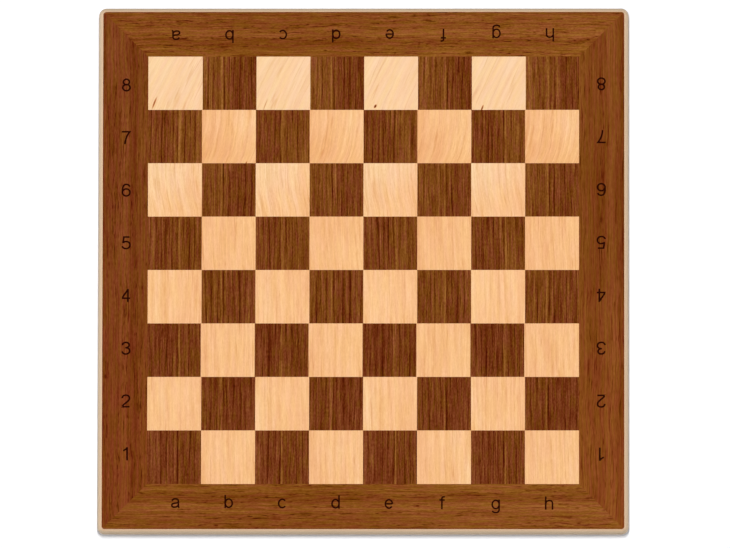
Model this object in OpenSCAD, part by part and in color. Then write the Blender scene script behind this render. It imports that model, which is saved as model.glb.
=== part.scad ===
// Chessboard: a veneered panel with an inlaid field of 64 squares, a mitred veneer border,
// an edge rounded over all the way round, and four felt pads beneath.
// The origin is on the table under the middle of the board. +X runs from file a to file h,
// +Y from rank 1 to rank 8, and +Z is up. Millimetres.

/* [Playing field] */
// Side of one square
square_w = 40; // [35:0.5:60]
// How far the strip of rank 8 sits to the right of the others
rank_8_slip = 0.4; // [-1:0.1:1]
// How far the strip of rank 3 sits to the right of the others
rank_3_slip = -0.5; // [-1:0.1:1]

/* [Border] */
// Width of the border, from the field to the outer edge of the board
border_w = 36.8; // [25:0.1:60]

/* [Panel] */
// Thickness of the core panel
core_t = 12; // [11:0.5:22]
// Thickness of the squares and the border veneers on the top face
veneer_t = 0.5; // [0.4:0.1:1.2]
// Thickness of the balancing veneer on the underside
backing_t = 0.5; // [0.4:0.1:1.2]

/* [Edge] */
// Radius of the corners of the board, seen from above
corner_r = 5.5; // [2:0.5:20]
// Radius of the round-over along the top and bottom edges
arris_r = 5.5; // [2:0.5:6]

/* [Felt pads] */
// Diameter of a pad
pad_d = 18; // [10:1:30]
// Thickness of a pad
pad_t = 2; // [1:0.5:4]
// Distance from the centre of a pad to each of the two board edges nearest to it
pad_inset = 30; // [22:1:60]

/* [Hidden] */
// A chessboard has eight files and eight ranks
line_count = 8;
field_w = line_count * square_w;
board_w = field_w + 2 * border_w;
board_t = backing_t + core_t + veneer_t;

// Heights of the layers above the table
backing_z = pad_t;
core_z = backing_z + backing_t;
face_z = core_z + core_t;

// The round-overs meet at most half way up the edge
arris = min(arris_r, board_t / 2);

// Clearance past the faces of a body that a cutter is taken from
cut_past = 1;
$fn = 96;

// Every board side by name, with the turn that brings the back side onto it
SIDES = [["back", 0], ["left", 90], ["front", 180], ["right", 270]];
// Every corner by name, with the signs of its X and Y
CORNERS = [["front_left", -1, -1], ["front_right", 1, -1], ["back_left", -1, 1], ["back_right", 1, 1]];
WOODS = ["light", "dark"];

function border_node(side) = str("border_veneer_", side[0]);
function pad_node(corner) = str("felt_pad_", corner[0]);
function squares_node(rank, wood) = str("rank_", rank, "_", wood, "_squares");

// Section through one edge of the board, from the outermost line at x = 0 inwards to x = -reach
module edge_section(reach) {
    translate([-reach, 0]) square([reach - arris, board_t]);
    if (board_t > 2 * arris) {
        translate([-arris, arris]) square([arris, board_t - 2 * arris]);
    }
    for (z = [arris, board_t - arris]) {
        translate([-arris, z]) circle(arris);
    }
}

// Bar as long and as wide as the board, rounded over on its two long edges, which run along X
module rounded_bar() {
    rotate([90, 0, 90]) linear_extrude(board_w, center = true) {
        for (flip = [0, 1]) {
            mirror([flip, 0]) translate([board_w / 2, 0]) edge_section(board_w / 2);
        }
    }
}

// The same thing at each corner of the plan, turned to face outwards
module at_each_corner() {
    for (turn = [0:90:270]) {
        rotate([0, 0, turn]) translate([board_w / 2, board_w / 2]) children();
    }
}

// Whole board as the router leaves it: the cutter follows the rounded corners with the same section
module routed_blank() {
    difference() {
        intersection() {
            rounded_bar();
            rotate([0, 0, 90]) rounded_bar();
        }
        at_each_corner() translate([-corner_r, -corner_r, -cut_past]) {
            cube([corner_r + cut_past, corner_r + cut_past, board_t + 2 * cut_past]);
        }
    }
    at_each_corner() translate([-corner_r, -corner_r]) rotate_extrude(angle = 90) {
        intersection() {
            square([corner_r, board_t]);
            translate([corner_r, 0]) edge_section(corner_r + 2 * arris);
        }
    }
}

// One layer of the routed board: what lies over the plan outline given, from height z up by t
module board_layer(z, t) {
    intersection() {
        translate([0, 0, pad_t]) routed_blank();
        translate([0, 0, z]) linear_extrude(t) children();
    }
}

// Core of fibreboard, whose bare edge shows all the way round
module core_panel() {
    color("#cdb294") board_layer(core_z, core_t) square(board_w, center = true);
}

// Plain veneer under the core, which keeps the board from cupping
module backing_veneer() {
    color("#7d4a22") board_layer(backing_z, backing_t) square(board_w, center = true);
}

// One side of the border, mitred from the corners of the field to the corners of the board
module border_veneer(side) {
    inner = field_w / 2;
    outer = board_w / 2;
    color("#82491b") board_layer(face_z, veneer_t) rotate(side[1]) {
        polygon([[-inner, inner], [inner, inner], [outer, outer], [-outer, outer]]);
    }
}

// How far a rank's strip was glued to the right of its place
function rank_slip(rank) = rank == 8 ? rank_8_slip : rank == 3 ? rank_3_slip : 0;

// Where the seam on the right of a file lies in a rank; the field's own two edges stay straight
function seam_x(file, rank) =
    (file - line_count / 2) * square_w
    + (file > 0 && file < line_count ? rank_slip(rank) : 0);

// The squares of one wood in one rank: a1 is dark, and the woods take turns from there
module rank_squares(rank, wood) {
    is_dark = wood == "dark";
    first = (rank + (is_dark ? 1 : 0)) % 2 == 0 ? 1 : 2;
    color(is_dark ? "#763d17" : "#f7c18c") for (file = [first:2:line_count]) {
        left = seam_x(file - 1, rank);
        translate([left, (rank - 1 - line_count / 2) * square_w, face_z]) {
            cube([seam_x(file, rank) - left, square_w, veneer_t]);
        }
    }
}

// Round felt pad near one corner of the underside
module felt_pad(corner) {
    reach = board_w / 2 - pad_inset;
    color("#3b2b20") translate([corner[1] * reach, corner[2] * reach]) cylinder(d = pad_d, h = pad_t);
}

core_panel();
backing_veneer();
for (side = SIDES) {
    border_veneer(side);
}
for (rank = [1:line_count], wood = WOODS) {
    rank_squares(rank, wood);
}
for (corner = CORNERS) {
    felt_pad(corner);
}
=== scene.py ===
"""Chessboard: a veneered panel with 64 inlaid squares, a mitred border and printed coordinates."""
import math

import bmesh
import bpy
from mathutils import Matrix, Vector, noise
from mathutils.geometry import delaunay_2d_cdt, interpolate_bezier


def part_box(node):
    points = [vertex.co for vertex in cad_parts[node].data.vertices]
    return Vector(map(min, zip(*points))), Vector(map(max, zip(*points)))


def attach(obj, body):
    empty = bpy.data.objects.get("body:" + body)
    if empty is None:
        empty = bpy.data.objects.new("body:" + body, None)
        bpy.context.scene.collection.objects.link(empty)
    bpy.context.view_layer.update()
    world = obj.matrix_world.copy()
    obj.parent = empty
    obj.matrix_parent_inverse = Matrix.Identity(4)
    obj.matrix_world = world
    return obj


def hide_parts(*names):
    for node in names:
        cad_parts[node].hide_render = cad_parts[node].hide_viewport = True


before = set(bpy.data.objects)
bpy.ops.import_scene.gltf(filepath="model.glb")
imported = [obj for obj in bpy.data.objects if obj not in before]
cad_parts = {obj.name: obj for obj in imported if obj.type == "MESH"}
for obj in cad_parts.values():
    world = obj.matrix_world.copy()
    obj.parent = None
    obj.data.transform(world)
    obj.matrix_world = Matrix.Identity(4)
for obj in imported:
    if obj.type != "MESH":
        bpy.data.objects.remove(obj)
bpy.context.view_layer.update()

MM = 0.001
LINES = 8

# Sizes of the board in millimetres, taken from the frame
CORE_LOW, CORE_HIGH = (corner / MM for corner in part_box("core_panel"))
HALF_BOARD = CORE_HIGH.x
TOP_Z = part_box("border_veneer_front")[1].z / MM
FIELD_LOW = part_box("rank_1_dark_squares")[0].x / MM
FIELD_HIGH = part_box("rank_8_dark_squares")[1].x / MM
FIELD = FIELD_HIGH - FIELD_LOW
SQUARE = FIELD / LINES
# How far the seams of two of the ranks lie to the right of the others
SLIPS = {8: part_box("rank_8_light_squares")[1].x / MM - (FIELD_HIGH - SQUARE),
         3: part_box("rank_3_light_squares")[0].x / MM - (FIELD_LOW + SQUARE)}


def add_object(name, data):
    """New object in the scene."""
    made = bpy.data.objects.new(name, data)
    bpy.context.scene.collection.objects.link(made)
    return made


def srgb(red, green, blue):
    """Linear colour of a colour as it is seen on a screen, from 0 to 255."""
    def linear(value):
        share = value / 255
        return share / 12.92 if share <= 0.04045 else ((share + 0.055) / 1.055) ** 2.4
    return (linear(red), linear(green), linear(blue), 1.0)


# Shader nodes


class Nodes:
    """Builds a node tree. Each method adds nodes and returns the socket that holds their result."""

    def __init__(self, tree):
        self.tree = tree

    def feed(self, socket, value):
        """Links a socket to another one, or sets it where the value is a plain one."""
        if isinstance(value, bpy.types.NodeSocket):
            self.tree.links.new(value, socket)
        else:
            socket.default_value = value

    def node(self, kind, values=(), **settings):
        """The node itself. Values go by the name or the number of the input they are for."""
        made = self.tree.nodes.new("ShaderNode" + kind)
        for name, value in settings.items():
            setattr(made, name, value)
        for socket, value in dict(values).items():
            self.feed(made.inputs[socket], value)
        return made

    def math(self, operation, *values):
        return self.node("Math", dict(enumerate(values)), operation=operation).outputs[0]

    def sum(self, first, *others):
        for other in others:
            first = self.math("ADD", first, other)
        return first

    def minus(self, first, second):
        return self.math("SUBTRACT", first, second)

    def times(self, first, *others):
        for other in others:
            first = self.math("MULTIPLY", first, other)
        return first

    def weigh(self, *parts):
        """Sum of values, each given with its weight."""
        return self.sum(*[self.times(value, weight) for value, weight in parts])

    def clip(self, value, low, high):
        """The value, kept between the lowest and the highest one."""
        return self.math("MINIMUM", self.math("MAXIMUM", value, low), high)

    def span(self, value, low, high, start=0.0, end=1.0, kind="LINEAR"):
        """Number that goes from start to end as the value goes from low to high."""
        made = self.node(
            "MapRange",
            {"Value": value, "From Min": low, "From Max": high, "To Min": start, "To Max": end},
            interpolation_type=kind,
        )
        return made.outputs[0]

    def step(self, value, low, high):
        """0 below low, 1 above high, and smooth between them. The other way round if low is the larger."""
        if low > high:
            return self.span(value, high, low, 1.0, 0.0, "SMOOTHSTEP")
        return self.span(value, low, high, kind="SMOOTHSTEP")

    def band(self, value, centre, reach):
        """1 at the centre, falling smoothly to 0 at the reach on either side."""
        away = self.math("ABSOLUTE", self.minus(value, centre))
        return self.step(away, reach, 0.0)

    def curve(self, value, points):
        """Smooth number by a value: points are pairs of the value and the number, in rising order."""
        low, high = points[0][0], points[-1][0]
        numbers = [number for _, number in points]
        least, most = min(numbers), max(numbers)
        made = self.node("FloatCurve", {1: self.span(value, low, high)})
        shape = made.mapping.curves[0]
        while len(shape.points) < len(points):
            shape.points.new(0.5, 0.5)
        for point, (place, number) in zip(shape.points, points):
            point.location = ((place - low) / (high - low), (number - least) / (most - least))
        made.mapping.update()
        return self.sum(self.times(made.outputs[0], most - least), least)

    def blend(self, share, first, second):
        """Number between the first, at share 0, and the second, at share 1."""
        return self.node("Mix", {0: share, 2: first, 3: second}).outputs[0]

    def mix(self, share, first, second, kind="MIX"):
        """Colour between the first, at share 0, and the second, at share 1."""
        made = self.node("Mix", {0: share, 6: first, 7: second}, data_type="RGBA", blend_type=kind)
        return made.outputs[2]

    def tint(self, colour, factor):
        """The colour, with its red, green and blue times those of the factor."""
        return self.mix(1.0, colour, factor, "MULTIPLY")

    def ramp(self, value, stops):
        """Colour by a value from 0 to 1: stops are pairs of a position and a colour as on a screen."""
        made = self.node("ValToRGB", {0: value})
        elements = made.color_ramp.elements
        while len(elements) < len(stops):
            elements.new(1.0)
        for element, (position, colour) in zip(elements, stops):
            element.position = position
            element.color = srgb(*colour)
        return made.outputs[0]

    def mix_shader(self, share, first, second):
        """Shader between the first, at share 0, and the second, at share 1."""
        return self.node("MixShader", {0: share, 1: first, 2: second}).outputs[0]


# Camera

# Where the camera stands as seen from its aim point, how far it is rolled, its distance in metres, and
# the aim point
CAMERA_AZIMUTH = math.radians(5.8)
CAMERA_ELEVATION = math.radians(82.26)
CAMERA_ROLL = math.radians(-5.75)
CAMERA_DISTANCE = 14.0
CAMERA_AIM = Vector((1.25, -3.01, 15.0)) * MM
# Pixels of the image to a metre at the aim point, and the image's width in pixels
PIXELS_PER_METRE = 1347.9
IMAGE_WIDTH = 730
# Width of the sensor in millimetres
SENSOR_WIDTH = 36.0


def make_camera():
    """Long lens far above the board, which leans a little towards the front."""
    data = bpy.data.cameras.new("camera")
    data.sensor_width = SENSOR_WIDTH
    data.lens = SENSOR_WIDTH * CAMERA_DISTANCE * PIXELS_PER_METRE / IMAGE_WIDTH
    camera = add_object("camera", data)
    flat = math.cos(CAMERA_ELEVATION)
    back = Vector((math.sin(CAMERA_AZIMUTH) * flat, -math.cos(CAMERA_AZIMUTH) * flat,
                   math.sin(CAMERA_ELEVATION)))
    right = Vector((0, 0, 1)).cross(back).normalized()
    up = back.cross(right)
    rolled_right = right * math.cos(CAMERA_ROLL) + up * math.sin(CAMERA_ROLL)
    rolled_up = up * math.cos(CAMERA_ROLL) - right * math.sin(CAMERA_ROLL)
    turn = Matrix((rolled_right, rolled_up, back)).transposed().to_4x4()
    camera.matrix_world = Matrix.Translation(CAMERA_AIM + back * CAMERA_DISTANCE) @ turn
    bpy.context.scene.camera = camera


make_camera()


# Light

# Height of the lamp above the horizon, its distance and its size in metres, and its power in watts
KEY_ELEVATION = math.radians(86)
KEY_DISTANCE = 3.0
KEY_WIDTH = 0.12
KEY_LENGTH = 0.9
KEY_POWER = 66.9
FILL_STRENGTH = 0.18
# How much stronger the fill is from the front, from the left and low down on both sides, and how
# narrow that last part is
FILL_FRONT = 0.8
FILL_LEFT = 0.15
FILL_SIDES = 32.0
SIDES_NARROWNESS = 16.0
# How bright the ceiling is in gloss, and the height, from 0 to 1, above which it is that dim
CEILING_DIM = 0.06
CEILING_FROM = 0.55


def make_key():
    """Long soft lamp high behind the board, which reaches forwards over it."""
    data = bpy.data.lights.new("key", "AREA")
    data.shape = "RECTANGLE"
    data.size = KEY_WIDTH
    data.size_y = KEY_LENGTH
    data.energy = KEY_POWER
    lamp = add_object("key", data)
    towards = Vector((0, math.cos(KEY_ELEVATION), math.sin(KEY_ELEVATION)))
    lamp.location = towards * KEY_DISTANCE
    lamp.rotation_euler = towards.to_track_quat("Z", "Y").to_euler()
    lamp.visible_glossy = False


def make_world():
    """Soft fill. Seen directly it is white, and gloss shows a pale horizon under a dim ceiling."""
    world = bpy.data.worlds.new("studio")
    world.use_nodes = True
    bpy.context.scene.world = world
    build = Nodes(world.node_tree)
    background = world.node_tree.nodes["Background"].inputs
    background["Color"].default_value = (1, 1, 1, 1)
    ray = build.node("LightPath").outputs
    towards = build.node("TexCoord").outputs["Generated"]
    x, y, z = build.node("SeparateXYZ", {0: towards}).outputs
    sides = build.math("POWER", build.math("ABSOLUTE", x), SIDES_NARROWNESS)
    fill = build.sum(build.times(sides, FILL_SIDES), 1.0)
    fill = build.times(fill, build.sum(build.times(x, -FILL_LEFT), 1.0))
    fill = build.times(build.sum(build.times(y, -FILL_FRONT), fill), FILL_STRENGTH)
    ceiling = build.span(z, 0.0, CEILING_FROM, 1.0, CEILING_DIM, "SMOOTHSTEP")
    strength = build.blend(ray["Is Glossy Ray"], fill, ceiling)
    strength = build.blend(ray["Is Transmission Ray"], strength, ceiling)
    strength = build.blend(ray["Is Camera Ray"], strength, 1.0)
    build.feed(background["Strength"], strength)


make_key()
make_world()


# Floor

FLOOR_COLOUR = (0.96, 0.97, 1.0, 1.0)
# Cool light of the floor's own, which keeps its shadow grey
FLOOR_LIFT = 0.085
LIFT_COLOUR = (0.8, 1.0, 1.2, 1.0)
# Distances from the middle of the board between which the floor fades to plain white, and the
# floor's width, in metres
FLOOR_FADE = (0.3, 0.9)
FLOOR_SIZE = 40.0
# How far inside the board's outline the opening in the floor begins, in millimetres
OPENING_INSET = 17.0


def plain_floor():
    """Pale floor that looks white where it is lit, keeps the shadow, fades to plain white far from the
    board and can be seen through from below."""
    material = bpy.data.materials.new("floor")
    material.use_nodes = True
    material.node_tree.nodes.clear()
    build = Nodes(material.node_tree)
    ray = build.node("LightPath").outputs
    surface = build.node("NewGeometry").outputs
    diffuse = build.node("BsdfDiffuse", {"Color": FLOOR_COLOUR}).outputs[0]
    glow = build.node("Emission", {"Color": LIFT_COLOUR, "Strength": FLOOR_LIFT}).outputs[0]
    lifted = build.node("AddShader", {0: diffuse, 1: glow}).outputs[0]
    white = build.node("Emission", {"Strength": 1.0}).outputs[0]
    distance = build.node("VectorMath", {0: surface["Position"]}, operation="LENGTH").outputs["Value"]
    faded = build.mix_shader(build.step(distance, *FLOOR_FADE), lifted, white)
    seen = build.mix_shader(ray["Is Camera Ray"], diffuse, faded)
    clear = build.node("BsdfTransparent").outputs[0]
    sided = build.mix_shader(surface["Backfacing"], seen, clear)
    build.node("OutputMaterial", {0: sided})
    return material


def make_floor():
    """Floor with an opening well inside the board's outline, which lets light reach the underside."""
    corners = []
    for half in (FLOOR_SIZE / 2, (HALF_BOARD - OPENING_INSET) * MM):
        corners += [(-half, -half, 0), (half, -half, 0), (half, half, 0), (-half, half, 0)]
    mesh = bpy.data.meshes.new("floor")
    mesh.from_pydata(corners, [], [(n, (n + 1) % 4, (n + 1) % 4 + 4, n + 4) for n in range(4)])
    mesh.materials.append(plain_floor())
    floor = add_object("floor", mesh)


make_floor()


# Materials

# Index of refraction of every surface, and how rough and how glossy the veneers are
REFRACTION = 1.45
VENEER_ROUGHNESS = 0.4
VENEER_GLOSS = 0.16
# How far the figure changes from one strip to the next
LEAF_STEP = 0.2
# Steps of brightness from a brown's middle to its darkest and to its lightest
SHADE_REACH = 50


class Finish(Nodes):
    """One material, with the nodes that feed its shader."""

    def __init__(self, name, roughness, specular=0.4):
        self.material = bpy.data.materials.new(name)
        self.material.use_nodes = True
        super().__init__(self.material.node_tree)
        self.shader = self.tree.nodes["Principled BSDF"]
        self.shader.inputs["Roughness"].default_value = roughness
        self.shader.inputs["Specular IOR Level"].default_value = specular
        self.shader.inputs["IOR"].default_value = REFRACTION

    def place(self):
        """X, Y and Z in the board's frame, in millimetres."""
        whole = self.node("TexCoord").outputs["Object"]
        split = self.node("SeparateXYZ", {0: whole})
        return [self.times(axis, 1 / MM) for axis in split.outputs]

    def noise(self, scale, detail, roughness=0.5, distortion=0.0, where=None):
        """Noise from 0 to 1 by the place in metres, unless another one is given."""
        if where is None:
            where = self.node("TexCoord").outputs["Object"]
        made = self.node("TexNoise", {
            "Vector": where, "Scale": scale, "Detail": detail, "Roughness": roughness,
            "Distortion": distortion})
        return made.outputs[0]

    def grain(self, across, along, width, length, layer=0.0):
        """Streaks of a width and a length in millimetres, from about -1 to 1 with a mean of 0."""
        where = self.node("CombineXYZ", {
            0: self.times(across, 1 / width), 1: self.times(along, 1 / length), 2: layer})
        streaks = self.noise(1.0, 1.0, 0.6, where=where.outputs[0])
        return self.times(self.minus(streaks, 0.5), 4.0)

    def bump(self, height, depth):
        """Raises the surface by the height, from 0 to 1, times a depth in millimetres."""
        made = self.node("Bump", {"Height": height, "Distance": depth * MM, "Strength": 1.0})
        self.feed(self.shader.inputs["Normal"], made.outputs[0])

    def done(self, colour):
        self.feed(self.shader.inputs["Base Color"], colour)
        return self.material


def strip_place(look):
    """Place on the strip of veneer that a square was cut from: distance across it and along it, in
    millimetres, the strip's number from 0 to 7, and 1 where the rank was turned round before gluing."""
    x, y, _ = look.place()

    def row_at(place):
        """Number, from 0 to 7, of the row of squares that X or Y lies in, and the distance into it."""
        offset = look.minus(place, FIELD_LOW)
        number = look.math("FLOOR", look.times(offset, 1 / SQUARE))
        number = look.clip(number, 0.0, LINES - 1.0)
        return number, look.minus(offset, look.times(number, SQUARE))

    rank, up = row_at(y)
    for number, slip in SLIPS.items():
        x = look.minus(x, look.times(look.math("COMPARE", rank, number - 1.0, 0.1), slip))
    file, right = row_at(x)
    turned = look.minus(1.0, look.math("MODULO", rank, 2.0))

    def turn(value, whole):
        """The value, or what it leaves of the whole where the rank was turned round."""
        return look.blend(turned, value, look.minus(whole, value))

    along = look.sum(turn(up, SQUARE), look.times(rank, SQUARE))
    return turn(right, SQUARE), along, turn(file, LINES - 1.0), turned


def by_strip(look, strip, values):
    """One of four values, by the strip's number: the first for 0 or 1, the next for 2 or 3, and so on."""
    picked = values[0]
    for number, (before, here) in enumerate(zip(values, values[1:]), start=1):
        past = look.math("GREATER_THAN", strip, 2 * number - 0.5)
        picked = look.sum(picked, look.times(past, here - before))
    return picked


def tilt(look, across, along, points):
    """What a curve by the distance along gives at a strip's right edge, and its opposite at the left."""
    return look.times(look.curve(along, points), look.minus(look.times(across, 2 / SQUARE), 1.0))


def browns(look, shade, middle):
    """Brown of the middle colour at shade 0, darker or lighter by the shade's steps elsewhere."""
    stops = []
    for step in range(-SHADE_REACH, SHADE_REACH + 1, 10):
        rates = (1.0, 0.95, 0.8 if step > 0 else 0.95)
        colour = [max(0.0, value + rate * step) for value, rate in zip(middle, rates)]
        stops.append(((step + SHADE_REACH) / (2 * SHADE_REACH), colour))
    return look.ramp(look.span(shade, -SHADE_REACH, SHADE_REACH), stops)


# Dark squares: how far the golden streak lies across each strip, from file b's to file h's
STREAK_AT = (14.5, 15.8, 20.3, 16.2)
# Lightness by the distance across a strip and by the distance along it, all of it in general, and how
# much lighter the right edge is than the middle
DARK_ACROSS = ((0.0, 1.0), (6.0, 0.0), (11.0, -1.0), (15.0, 1.0), (20.0, 0.0), (24.0, -2.5),
               (28.5, -4.0), (33.0, 1.0), (38.0, 3.0), (SQUARE, 3.0))
DARK_ALONG = ((0.0, -1.5), (20.0, -3.0), (60.0, -4.0), (87.0, -6.5), (105.0, -6.5), (116.0, -3.5),
              (124.0, 0.0), (140.0, 0.5), (180.0, 1.0), (220.0, 0.0), (260.0, 1.0), (300.0, 0.6),
              (FIELD, 0.0))
DARK_LIFT = 3.5
DARK_TILT = ((0.0, 2.5), (20.0, 2.3), (60.0, -1.2), (100.0, -0.6), (140.0, -1.3), (180.0, 0.5),
             (220.0, -4.0), (260.0, -6.5), (300.0, -13.0), (FIELD, -14.0))
# Distance from one dark ring to the next
RING_PITCH = 4.15
# Middle colours of the golden and of the red brown
DARK_BROWNS = ((116.5, 64.0, 14.5), (119.5, 57.0, 26.0))


def dark_squares():
    """Red-brown veneer lined along the grain, with a narrow golden streak through every strip."""
    look = Finish("dark_veneer", VENEER_ROUGHNESS, VENEER_GLOSS)
    across, along, strip, _ = strip_place(look)
    leaf = look.times(strip, LEAF_STEP)
    wander = look.times(look.grain(0.0, along, 1.0, 90.0, leaf), 0.7)
    side = look.minus(look.minus(across, by_strip(look, strip, STREAK_AT)), wander)

    def grain(width, length, layer):
        return look.grain(side, along, width, length, layer)

    broad = grain(5.0, 70.0, leaf)
    bands = grain(1.9, 80.0, leaf)
    lines = grain(0.8, 30.0, leaf)
    fine = grain(0.6, 9.0, strip)
    beads = grain(0.7, 2.0, strip)
    pores = look.step(grain(0.7, 4.0, look.sum(strip, 7.0)), 0.45, 1.1)
    stains = look.step(grain(1.3, 20.0, look.sum(strip, 11.0)), 0.45, 0.9)
    phase = look.weigh((side, math.tau / RING_PITCH), (grain(9.0, 70.0, leaf), 2.2))
    depth = look.span(grain(3.5, 40.0, look.sum(leaf, 8.0)), -0.7, 0.5, 0.1, 1.2)
    rings = look.times(look.step(look.math("SINE", phase), 0.45, 1.0), depth)

    # The streak, the dark seam beside it and its fainter echo each come and go along the strip
    glow = look.span(look.grain(3.0, along, 1.0, 25.0, leaf), -0.8, 0.8, 0.5, 1.3)
    streak = look.times(look.band(side, 0.1, 1.1), glow)
    gloom = look.step(look.grain(1.0, along, 1.0, 25.0, leaf), -1.0, 0.2)
    seam = look.times(look.band(side, 1.75, 0.85), gloom)
    shine = look.step(look.grain(5.0, along, 1.0, 30.0, leaf), -0.2, 0.8)
    echo = look.times(look.band(side, 3.6, 0.9), shine)

    figure = look.weigh(
        (broad, 5.0), (bands, 9.5), (lines, 17.0), (fine, 13.5), (beads, 13.5), (rings, -20.0),
        (pores, -16.0), (stains, -19.0), (streak, 25.5), (seam, -24.0), (echo, 15.0))
    shade = look.sum(
        look.curve(across, DARK_ACROSS), look.curve(along, DARK_ALONG), DARK_LIFT,
        tilt(look, across, along, DARK_TILT), figure)
    redness = look.weigh(
        (grain(1.8, 14.0, look.sum(strip, 3.0)), 1.2), (streak, -0.6),
        (look.step(side, -2.0, 8.0), 0.4), (look.step(along, 130.0, 90.0), 0.35))
    redness = look.clip(look.sum(redness, 0.2), 0.0, 1.0)
    gold, red = (browns(look, shade, middle) for middle in DARK_BROWNS)
    look.bump(look.span(shade, -SHADE_REACH, SHADE_REACH), 0.02)
    return look.done(look.mix(redness, gold, red))


# Light squares: how far the figure has moved to the right at each distance along the strips, and how
# far it has moved from the first strip to each of them
LIGHT_BEND = ((0.0, 0.0), (80.0, -1.5), (160.0, -2.0), (200.0, -3.5), (222.0, -7.0), (240.0, -8.0),
              (262.0, -6.0), (280.0, -1.0), (300.0, 7.5), (FIELD, 17.5))
LIGHT_SHIFT = (0.0, 2.2, 4.4, 3.3)
# Distances along the strips between which the lines grow further apart
LEANING_SPAN = (270.0, 290.0)
# Lightness along the ranks as they were laid and along those that were turned round, by the distance
# across, all of it in general, and how much lighter the right edge is than the middle
LIGHT_LAID = ((0.0, -0.04), (60.0, -0.03), (140.0, -0.03), (200.0, 0.0), (215.0, 0.04),
              (240.0, 0.13), (300.0, 0.19), (FIELD, 0.2))
LIGHT_TURNED = ((0.0, -0.03), (100.0, -0.05), (180.0, -0.085), (240.0, -0.055), (260.0, -0.085),
                (280.0, -0.13), (FIELD, -0.15))
LIGHT_ACROSS = ((0.0, 0.0), (6.0, 0.02), (14.0, 0.01), (22.0, -0.01), (30.0, 0.0), (36.0, -0.02),
                (SQUARE, -0.04))
LIGHT_LIFT = 0.52
LIGHT_TILT = ((0.0, -0.01), (150.0, -0.01), (200.0, -0.015), (225.0, -0.03), (245.0, -0.07),
              (262.0, -0.085), (285.0, 0.0), (FIELD, 0.0))
# Colours from dark to light
LIGHT_TONES = (
    (0.0, (206, 139, 84)), (0.3, (237, 174, 117)), (0.5, (245.5, 191, 138)),
    (0.62, (246.5, 199.5, 153)), (0.8, (247, 209, 166)), (1.0, (247, 219, 181)))
# Factors on the colour in the dark and the light parts of the fine figure, in its golden and its pink
# parts, and in the brown lines
PLAIN = (1.0, 1.0, 1.0, 1.0)
LIGHT_FINE = ((0.88, 0.78, 0.67, 1.0), (1.12, 1.22, 1.31, 1.0))
LIGHT_TINTS = ((1.0, 1.01, 0.955, 1.0), (1.0, 0.985, 1.045, 1.0))
LIGHT_LINES = (0.81, 0.65, 0.49, 1.0)
# Small dark flecks: strip, place across and along the figure, half length, half width and strength
FLECKS = ((0, 3.25, 285.2, 6.6, 1.1, 0.68), (2, 6.2, 283.8, 8.0, 0.75, 0.35),
          (4, 8.3, 282.7, 2.0, 1.3, 1.1), (6, 8.2, 281.2, 3.6, 1.0, 0.85))
FLECK_RIM = srgb(192, 112, 60)
FLECK_HEART = srgb(96, 42, 4)


def light_squares():
    """Pale veneer with thin brown lines, which lean and curve towards rank 8."""
    look = Finish("light_veneer", VENEER_ROUGHNESS, VENEER_GLOSS)
    across, along, strip, turned = strip_place(look)
    leaf = look.times(strip, LEAF_STEP)
    side = look.minus(across, look.curve(along, LIGHT_BEND))
    drift = look.minus(side, by_strip(look, strip, LIGHT_SHIFT))
    leaning = look.step(along, *LEANING_SPAN)

    def grain(width, length, layer):
        return look.grain(drift, along, width, length, layer)

    broad = grain(6.0, 40.0, leaf)
    bands = grain(2.2, 40.0, leaf)
    soft = look.times(grain(3.6, 60.0, look.sum(leaf, 15.0)), leaning)
    hair = grain(0.65, 6.0, strip)
    beads = grain(0.7, 1.8, strip)
    scratches = look.step(grain(0.7, 10.0, look.sum(strip, 9.0)), 0.45, 1.0)
    breaks = look.step(grain(1.2, 12.0, look.sum(strip, 4.0)), -0.8, 0.3)
    chosen = look.step(grain(2.5, 90.0, look.sum(leaf, 2.0)), -0.6, 0.5)
    close = look.band(grain(2.4, 90.0, look.sum(leaf, 5.0)), 0.0, 0.25)
    apart = look.band(grain(5.5, 90.0, look.sum(leaf, 6.0)), 0.0, 0.17)
    lines = look.times(look.blend(leaning, close, apart), look.blend(leaning, 1.0, 0.85), breaks, chosen)

    laid = look.blend(turned, look.curve(along, LIGHT_LAID), look.curve(along, LIGHT_TURNED))
    shade = look.sum(
        LIGHT_LIFT, laid, look.curve(across, LIGHT_ACROSS), tilt(look, across, along, LIGHT_TILT),
        look.times(broad, 0.06))
    colour = look.ramp(shade, LIGHT_TONES)
    fine = look.weigh((bands, 0.45), (hair, 0.34), (beads, 0.24), (scratches, -0.5))
    fine = look.sum(look.times(fine, look.blend(leaning, 0.5, 0.23)), look.times(soft, 0.11), 0.5)
    colour = look.tint(colour, look.mix(look.clip(fine, 0.0, 1.0), *LIGHT_FINE))
    pinkness = look.weigh((grain(4.0, 22.0, look.sum(leaf, 12.0)), 0.8), (across, 0.014))
    pinkness = look.clip(look.sum(pinkness, 0.22), 0.0, 1.0)
    colour = look.tint(colour, look.mix(pinkness, *LIGHT_TINTS))
    colour = look.tint(colour, look.mix(look.times(lines, 0.65), PLAIN, LIGHT_LINES))
    for number, across_at, along_at, half_length, half_width, strength in FLECKS:
        here = look.math("COMPARE", strip, float(number), 0.1)
        spot = look.times(look.band(side, across_at, half_width), look.band(along, along_at, half_length))
        spot = look.times(spot, here, strength)
        colour = look.mix(look.step(spot, 0.0, 0.5), colour, FLECK_RIM)
        colour = look.mix(look.step(spot, 0.4, 0.9), colour, FLECK_HEART)
    look.bump(shade, 0.01)
    return look.done(colour)


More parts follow.
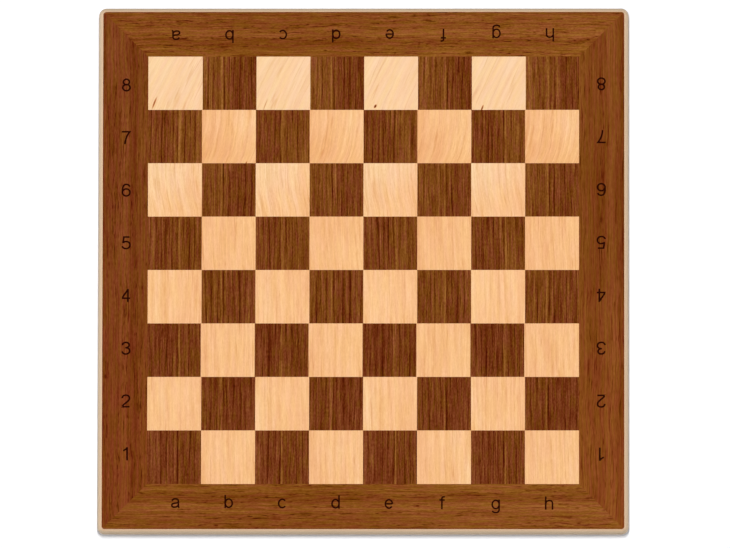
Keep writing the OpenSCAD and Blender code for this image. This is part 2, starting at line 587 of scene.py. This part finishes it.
# Border: lightness by the distance from the board's outer edge, of three sides and of the right one
# The darkening over the first few millimetres from the edge is painted shade, where the veneer curves down
# over the rounded edge; the bands further in are the figure
BORDER_TONE = ((0.0, -8.0), (3.5, -6.0), (5.5, -2.0), (7.5, 0.0), (14.0, 0.0), (16.5, 4.0),
               (19.5, 7.0), (22.0, 4.0), (24.5, -6.0), (27.5, -7.0), (30.0, 0.0), (32.0, 2.0),
               (37.0, 3.0))
RIGHT_TONE = ((0.0, -9.0), (5.0, -6.0), (9.0, 3.0), (12.5, 7.0), (15.5, 5.0), (18.5, -1.0),
              (22.0, -3.0), (27.0, -0.5), (37.0, 5.0))
# Lightness along every side, from left to right or from front to back, and all of it in general
BORDER_DRIFT = {
    "back": ((-HALF_BOARD, -1.5), (-130.0, -1.0), (-90.0, -4.0), (-40.0, -4.0), (0.0, -1.5),
             (40.0, 2.0), (90.0, 2.0), (130.0, 4.0), (HALF_BOARD, 5.0)),
    "front": ((-HALF_BOARD, -1.5), (-110.0, -1.5), (-50.0, -3.0), (0.0, -2.0), (40.0, 2.5),
              (80.0, 4.0), (120.0, 4.5), (150.0, 7.0), (HALF_BOARD, 7.5)),
    "left": ((-HALF_BOARD, 3.0), (-130.0, 3.0), (-80.0, 1.0), (-50.0, -1.5), (0.0, 1.5),
             (40.0, -0.5), (110.0, 0.0), (HALF_BOARD, 0.5)),
    "right": ((-HALF_BOARD, 7.5), (-130.0, 7.0), (-90.0, 3.0), (-50.0, 4.0), (-10.0, -2.0),
              (30.0, -5.0), (60.0, -7.5), (80.0, -6.0), (110.0, -1.5), (HALF_BOARD, 0.5))}
BORDER_LIFT = 2.5
# Middle colours of the golden and of the red brown of the back and the front, of the left side and of
# the right side
CROSS_BROWNS = ((128.5, 75.0, 18.0), (132.0, 68.0, 28.0))
LEFT_BROWNS = ((117.0, 61.5, 15.0), (120.5, 54.5, 24.5))
RIGHT_BROWNS = ((122.0, 67.0, 16.5), (125.5, 60.5, 25.0))
# Every side, with whether it runs along X, its tone, how strong its figure is, how much that is
# stretched, and its browns
BORDER_SIDES = {
    "back": (True, BORDER_TONE, 1.17, 1.0, CROSS_BROWNS),
    "front": (True, BORDER_TONE, 1.13, 1.25, CROSS_BROWNS),
    "left": (False, BORDER_TONE, 0.93, 1.5, LEFT_BROWNS),
    "right": (False, RIGHT_TONE, 0.82, 2.2, RIGHT_BROWNS)}
# Factors on the colour of the left and the right side, near the back and near the front, and the
# places up the board between which one gives way to the other
TINT_BACK = (1.0, 1.03, 1.0, 1.0)
TINT_FRONT = (1.0, 0.92, 0.82, 1.0)
TINT_SPAN = (60.0, -130.0)


def border(side):
    """Warm brown veneer whose grain runs along one side of the board, with short dark pores."""
    runs_x, tone, contrast, stretch, middles = BORDER_SIDES[side]
    layer = 10.0 * list(BORDER_SIDES).index(side)
    look = Finish("border_veneer_" + side, VENEER_ROUGHNESS, VENEER_GLOSS)
    x, y, _ = look.place()
    along, across = (x, y) if runs_x else (y, x)
    depth = look.minus(HALF_BOARD, look.math("ABSOLUTE", across))
    depth = look.sum(depth, look.grain(0.0, along, 1.0, 45.0, layer))
    stretched = look.times(along, 1 / stretch)

    def grain(width, length, more=0.0):
        return look.grain(depth, stretched, width, length, layer + more)

    bands = grain(1.6, 70.0)
    lines = grain(0.75, 45.0)
    hair = grain(0.65, 9.0)
    beads = grain(0.7, 2.0)
    rows = look.step(grain(2.7, 90.0, 5.0), -0.3, 0.4)
    pores = look.times(look.step(grain(0.75, 5.0, 3.0), 0.25, 0.8), rows)
    dashes = look.times(look.step(grain(0.85, 14.0, 7.0), 0.25, 0.75), rows)
    figure = look.weigh(
        (bands, 3.5), (lines, 13.5), (hair, 9.0), (beads, 9.0), (pores, -36.0), (dashes, -34.0))
    # The tone by the distance from the edge holds painted shade along the outer edge, where the veneer
    # curves down
    shade = look.sum(
        look.curve(depth, tone), look.curve(along, BORDER_DRIFT[side]), BORDER_LIFT,
        look.times(figure, contrast))
    redness = look.weigh((grain(2.0, 14.0, 9.0), 1.1), (look.step(depth, 31.0, 26.0), 0.3))
    redness = look.clip(look.sum(redness, 0.25), 0.0, 1.0)
    gold, red = (browns(look, shade, middle) for middle in middles)
    colour = look.mix(redness, gold, red)
    if not runs_x:
        colour = look.tint(colour, look.mix(look.step(y, *TINT_SPAN), TINT_BACK, TINT_FRONT))
    look.bump(look.span(shade, -SHADE_REACH, SHADE_REACH), 0.02)
    return look.done(colour)


def fibreboard():
    """Bare sanded edge of pressed fibre, paler towards the faces and greyer and darker towards mid-height;
    that darkening is painted shade where the rounded edge turns down, away from the light.
    """
    look = Finish("fibreboard", roughness=0.75, specular=0.25)
    x, y, z = look.place()
    flattened = look.node("CombineXYZ", {0: x, 1: y, 2: look.times(z, 3.0)}).outputs[0]
    speck = look.noise(2.2, 4.0, 0.7, where=flattened)
    shade = look.sum(look.times(look.minus(speck, 0.5), 1.6), 0.5)
    # The inner colour, greyer and darker towards mid-height, is painted shade of the rounded edge; the
    # paler colour lies towards the faces
    inner = look.ramp(shade, [(0.0, (180, 157, 130)), (0.5, (200, 176, 148)), (1.0, (216, 195, 168))])
    skin = look.ramp(shade, [(0.0, (201, 165, 130)), (0.5, (218, 184, 150)), (1.0, (229, 200, 170))])
    middle = (CORE_LOW.z + CORE_HIGH.z) / 2
    half = (CORE_HIGH.z - CORE_LOW.z) / 2
    away = look.math("ABSOLUTE", look.minus(z, middle))
    look.bump(shade, 0.05)
    return look.done(look.mix(look.step(away, half * 0.7, half * 0.97), inner, skin))


def backing():
    """Plain brown balancing veneer, its grain running with the files."""
    look = Finish("backing_veneer", roughness=0.5)
    x, y, _ = look.place()
    fine = look.grain(x, y, 1.0, 30.0, 50.0)
    broad = look.grain(x, y, 6.0, 160.0, 51.0)
    hair = look.grain(x, y, 0.5, 8.0, 52.0)
    pores = look.step(look.grain(x, y, 0.6, 5.0, 53.0), 0.8, 1.5)
    shade = look.sum(look.weigh((fine, 0.2), (broad, 0.25), (hair, 0.12), (pores, -0.3)), 0.5)
    look.bump(shade, 0.03)
    return look.done(look.ramp(
        shade, [(0.0, (84, 42, 16)), (0.5, (126, 74, 34)), (1.0, (160, 108, 62))]))


def felt():
    """Dark felt with tangled fibres."""
    look = Finish("felt", roughness=0.95, specular=0.15)
    tangle = look.noise(2600.0, 3.0, 0.7, 2.5)
    shade = look.weigh((tangle, 0.7), (look.noise(300.0, 2.0), 0.3))
    look.bump(tangle, 0.12)
    look.shader.inputs["Sheen Weight"].default_value = 0.35
    look.shader.inputs["Sheen Roughness"].default_value = 0.5
    return look.done(look.ramp(shade, [(0.3, (34, 24, 17)), (0.5, (59, 43, 32)), (0.7, (92, 72, 56))]))


def ink():
    """Near-black printing ink, thinner over the pores of the wood."""
    look = Finish("coordinate_ink", roughness=0.5, specular=0.1)
    film = look.noise(1800.0, 3.0, 0.6)
    look.bump(film, 0.01)
    return look.done(look.ramp(film, [(0.3, (32, 3, 0)), (0.55, (42, 6, 0)), (0.75, (60, 18, 3))]))


def wear(node, material):
    """Gives a CAD node its material."""
    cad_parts[node].data.materials.clear()
    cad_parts[node].data.materials.append(material)


wear("core_panel", fibreboard())
wear("backing_veneer", backing())
for side in BORDER_SIDES:
    wear("border_veneer_" + side, border(side))
light_veneer, dark_veneer = light_squares(), dark_squares()
for rank in range(1, LINES + 1):
    wear(f"rank_{rank}_light_squares", light_veneer)
    wear(f"rank_{rank}_dark_squares", dark_veneer)


# Printed coordinates

# Width of a stroke, height of a small letter and of a tall mark, and thickness of the ink
STROKE = 1.2
X_HEIGHT = 7.45
TALL = 9.9
INK_THICK = 0.03
# Number of points round a whole ellipse and along one curve
ARC_STEPS = 28
CURVE_POINTS = 11
# Least cosine of half a bend at which a stroke's corner is still mitred in full
MITRE_LIMIT = 0.45
# Distances at which two points count as the same: at a stroke's ends, and in the flat cover
ENDS_MEET = 1e-6
MERGE = 1e-5


def arc(centre_x, centre_y, radius_x, radius_y, start, end):
    """Points along an ellipse between two angles in degrees."""
    steps = max(3, round(ARC_STEPS * abs(end - start) / 360))
    angles = [math.radians(start + (end - start) * step / steps) for step in range(steps + 1)]
    return [Vector((centre_x + radius_x * math.cos(a), centre_y + radius_y * math.sin(a))) for a in angles]


def bend(*points):
    """Points along a chain of curves, given as a start and then two handles and an end for each."""
    corners = [Vector(point) for point in points]
    chain = corners[:1]
    for first in range(0, len(corners) - 1, 3):
        piece = interpolate_bezier(*[c.to_3d() for c in corners[first:first + 4]], CURVE_POINTS)
        chain += [point.to_2d() for point in piece[1:]]
    return chain


def line(*points):
    return [Vector(point) for point in points]


# Strokes of each mark in millimetres, from the middle of its baseline
OVAL = (0.0, 3.72, 2.6, 3.12)
GLYPHS = {
    "a": [bend((-2.4, 5.3), (-2.05, 6.5), (-1.1, 6.83), (0.05, 6.83), (1.6, 6.83), (2.25, 6.1), (2.25, 4.8))
          + bend((2.25, 1.9), (2.25, 1.0), (2.4, 0.5), (2.85, 0.05)),
          bend((2.25, 4.1), (1.2, 3.65), (0.1, 3.65), (-0.9, 3.45), (-2.1, 3.2), (-2.6, 2.8), (-2.6, 1.95),
               (-2.6, 1.1), (-1.9, 0.55), (-0.8, 0.55), (1.0, 0.55), (2.25, 1.5), (2.25, 3.1))],
    "b": [line((-2.6, 0), (-2.6, TALL)), arc(*OVAL, 0, 360)],
    "c": [arc(0.1, 3.72, 2.7, 3.12, 38, 322)],
    "d": [line((2.6, 0), (2.6, TALL)), arc(*OVAL, 0, 360)],
    "e": [line((-2.5, 3.8), (2.6, 3.8)), arc(*OVAL, 0, 325)],
    "f": [line((-0.3, 0), (-0.3, 7.6)) + bend((-0.3, 7.6), (-0.3, 8.9), (0.2, 9.35), (1.9, 9.2))[1:],
          line((-2.2, 6.85), (1.8, 6.85))],
    "g": [line((2.55, X_HEIGHT), (2.55, 0.2)) + bend((2.55, 0.2), (2.55, -1.6), (1.7, -2.35), (0.0, -2.35),
                                                 (-1.3, -2.35), (-2.2, -1.9), (-2.35, -0.9))[1:],
          arc(*OVAL, 0, 360)],
    "h": [line((-2.5, 0), (-2.5, TALL)),
          bend((-2.5, 4.3), (-2.5, 5.9), (-1.3, 6.83), (0.1, 6.83), (1.8, 6.83), (2.5, 6.0), (2.5, 4.6))
          + line((2.5, 0))],
    "1": [line((0.9, 0), (0.9, TALL)), bend((0.9, 9.3), (0.1, 8.3), (-0.8, 7.7), (-1.85, 7.3))],
    "2": [bend((-2.45, 7.0), (-2.4, 8.5), (-1.5, 9.28), (0.05, 9.28), (1.6, 9.28), (2.45, 8.4), (2.45, 7.1),
               (2.45, 5.4), (0.7, 4.2), (-0.6, 3.0), (-1.7, 2.05), (-2.2, 1.3), (-2.45, 0.62))
          + line((2.6, 0.62))],
    "3": [bend((-2.4, 7.2), (-2.2, 8.6), (-1.3, 9.28), (-0.1, 9.28), (1.4, 9.28), (2.15, 8.5), (2.15, 7.35),
               (2.15, 6.0), (1.1, 5.3), (-0.5, 5.3)),
          bend((-0.5, 5.3), (1.5, 5.3), (2.55, 4.5), (2.55, 3.0), (2.55, 1.5), (1.4, 0.6), (-0.1, 0.6),
               (-1.5, 0.6), (-2.4, 1.3), (-2.6, 2.6))],
    "4": [line((1.3, 0), (1.3, TALL)), line((1.3, 9.4), (-2.5, 3.5)), line((-2.95, 2.9), (3.0, 2.9))],
    "5": [line((2.3, 9.28), (-1.55, 9.28), (-2.2, 4.75)),
          bend((-2.2, 4.75), (-1.6, 5.5), (-0.9, 5.9), (0.1, 5.9), (1.6, 5.9), (2.6, 4.9), (2.6, 3.3),
               (2.6, 1.7), (1.5, 0.6), (-0.1, 0.6), (-1.5, 0.6), (-2.45, 1.3), (-2.6, 2.5))],
    "6": [bend((2.35, 7.5), (2.1, 8.7), (1.2, 9.28), (0.15, 9.28), (-1.7, 9.28), (-2.6, 7.7), (-2.6, 4.7))
          + line((-2.6, 3.3)), arc(0, 3.25, 2.6, 2.65, 0, 360)],
    "7": [line((-3.1, 9.28)) + bend((2.35, 9.28), (0.9, 7.4), (-0.6, 4.5), (-0.9, 0.0))],
    "8": [arc(0, 7.2, 2.05, 2.08, 0, 360), arc(0, 2.95, 2.5, 2.35, 0, 360)],
}


def ribbon(points, corners, faces):
    """Adds a stroke along the points as a row of four-sided faces, mitred where it turns."""
    closed = (points[0] - points[-1]).length < ENDS_MEET
    if closed:
        points = points[:-1]
    count = len(points)
    first = len(corners)
    for index, point in enumerate(points):
        before = points[index - 1] if index or closed else None
        after = points[(index + 1) % count] if index + 1 < count or closed else None
        ways = [(b - a).normalized() for a, b in ((before, point), (point, after)) if a and b]
        way = (ways[0] + ways[-1]).normalized()
        reach = STROKE / 2 / max(MITRE_LIMIT, way.dot(ways[0]))
        out = Vector((-way.y, way.x)) * reach
        corners += [point + out, point - out]
    for index in range(count if closed else count - 1):
        here, there = first + 2 * index, first + 2 * ((index + 1) % count)
        faces.append([here, here + 1, there + 1, there])


def glyph_faces(name):
    """Flat triangles that cover a glyph's strokes, with nothing covered twice."""
    corners, faces = [], []
    for stroke in GLYPHS[name]:
        ribbon(stroke, corners, faces)
    points, _, triangles, _, _, covered_by = delaunay_2d_cdt(corners, [], faces, 1, MERGE)
    return points, [t for t, owners in zip(triangles, covered_by) if owners]


def print_row(name, marks, turned, film, widen=1.0):
    """One side's coordinates as a thin film on the veneer. Marks are a glyph's name and the X and Y of
    the middle of its baseline."""
    sign = -1 if turned else 1
    work = bmesh.new()
    for glyph, x, y in marks:
        points, triangles = glyph_faces(glyph)
        made = []
        for point in points:
            place = ((x + sign * widen * point.x) * MM, (y + sign * point.y) * MM, TOP_Z * MM)
            made.append(work.verts.new(place))
        for triangle in triangles:
            work.faces.new([made[corner] for corner in triangle])
    loose = [v for v in work.verts if not v.link_faces]
    bmesh.ops.delete(work, geom=loose, context="VERTS")
    raised = bmesh.ops.extrude_face_region(work, geom=work.faces[:], use_keep_orig=True)
    tops = [item for item in raised["geom"] if isinstance(item, bmesh.types.BMVert)]
    bmesh.ops.translate(work, verts=tops, vec=(0, 0, INK_THICK * MM))
    bmesh.ops.recalc_face_normals(work, faces=work.faces[:])
    mesh = bpy.data.meshes.new(name)
    work.to_mesh(mesh)
    work.free()
    mesh.materials.append(film)
    row = add_object(name, mesh)
    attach(row, "root")


# Printed rows, from the middle of the board: distance from mark to mark, middle along the row, the
# row's place, and how much further out, or in, it gets with every mark
FILE_ROWS = {"front": (39.55, -0.52, -178.5, -0.18), "back": (39.7, -0.59, 180.6, 0.22)}
RANK_ROWS = {"left": (39.45, 0.64, -176.05, -0.065), "right": (39.6, 0.88, 176.5, 0.015)}
DIGIT_WIDEN = 1.08


def print_coordinates(film):
    """Letters along two sides of the board and numbers up the others, for a player at either end."""
    steps = [index - (LINES - 1) / 2 for index in range(LINES)]
    for side, (pitch, middle, y, lean) in FILE_ROWS.items():
        marks = [(name, middle + pitch * step, y + lean * step) for name, step in zip("abcdefgh", steps)]
        print_row("file_letters_" + side, marks, side == "back", film)
    for side, (pitch, middle, x, lean) in RANK_ROWS.items():
        turned = side == "right"
        base = middle + (TALL / 2 if turned else -TALL / 2)
        marks = [(name, x + lean * step, base + pitch * step) for name, step in zip("12345678", steps)]
        print_row("rank_numbers_" + side, marks, turned, film, DIGIT_WIDEN)


print_coordinates(ink())


# Felt pads

PAD_SPOKES = 72
# Outline from the middle of the underside round the rim to the middle of the upper side, in shares of
# the pad's radius and of its thickness
PAD_OUTLINE = (
    (0.0, 0.0), (0.2, 0.0), (0.4, 0.0), (0.6, 0.0), (0.78, 0.0), (0.9, 0.0), (0.955, 0.06), (0.985, 0.18),
    (0.998, 0.35), (1.0, 0.55), (0.998, 0.75), (0.99, 0.9), (0.97, 1.0), (0.8, 1.0), (0.5, 1.0), (0.0, 1.0))
# Share of the radius that the outline reaches, which leaves room for the ragged fibres
PAD_FIT = 0.985
# Raggedness of the rim: how fine it is round the pad and up it, and how far it reaches
PAD_RAGS = ((6.0, 3.0, 0.012), (22.0, 5.0, 0.008))
# How uneven the underside is: how fine, and how deep as a share of the thickness
PAD_DENTS = (9.0, 0.02)
# How far apart the pads lie in the noise, so that no two are alike
PAD_SEED_STEP = 17.0


def pad_ring(work, share, height, foot, radius, thick, seed):
    """One ring of the pad's outline, or a single point where the outline starts and ends. The foot is
    the middle of the underside."""
    centre = foot + Vector((0, 0, height * thick))
    if share == 0.0:
        return [work.verts.new(centre)]
    ring = []
    for spoke in range(PAD_SPOKES):
        angle = math.tau * spoke / PAD_SPOKES
        way = Vector((math.cos(angle), math.sin(angle), 0))
        rough = 0.0
        for round_scale, up_scale, reach in PAD_RAGS:
            rough += noise.noise(way * round_scale + seed + Vector((0, 0, height * up_scale))) * reach
        out = radius * share * (PAD_FIT + rough * share)
        dent_scale, dent_depth = PAD_DENTS
        dent = dent_depth * (1 + noise.noise(way * share * dent_scale + seed)) if height == 0.0 else 0.0
        ring.append(work.verts.new(centre + Vector((0, 0, dent * thick)) + way * out))
    return ring


def felt_pad(corner, cloth):
    """Stamped disc of felt with a soft, slightly ragged rim, pressed flat where the board stands on it."""
    node = "felt_pad_" + corner
    low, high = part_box(node)
    foot = Vector(((low.x + high.x) / 2, (low.y + high.y) / 2, low.z))
    radius = (high.x - low.x) / 2
    thick = high.z - low.z
    seed = Vector((corner.count("right"), corner.count("back"), 0.5)) * PAD_SEED_STEP
    work = bmesh.new()
    rings = [pad_ring(work, share, height, foot, radius, thick, seed) for share, height in PAD_OUTLINE]
    for inner, outer in zip(rings, rings[1:]):
        for spoke in range(PAD_SPOKES):
            after = (spoke + 1) % PAD_SPOKES
            if len(inner) == 1:
                work.faces.new((inner[0], outer[after], outer[spoke]))
            elif len(outer) == 1:
                work.faces.new((inner[spoke], inner[after], outer[0]))
            else:
                work.faces.new((inner[spoke], inner[after], outer[after], outer[spoke]))
    bmesh.ops.recalc_face_normals(work, faces=work.faces[:])
    for face in work.faces:
        face.smooth = True
    mesh = bpy.data.meshes.new(node)
    work.to_mesh(mesh)
    work.free()
    mesh.materials.append(cloth)
    pad = add_object("felt_disc_" + corner, mesh)
    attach(pad, "root")
    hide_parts(node)


felt_cloth = felt()
for corner in ("front_left", "front_right", "back_left", "back_right"):
    felt_pad(corner, felt_cloth)

bpy.context.scene.view_settings.view_transform = "Standard"

bpy.context.view_layer.update()
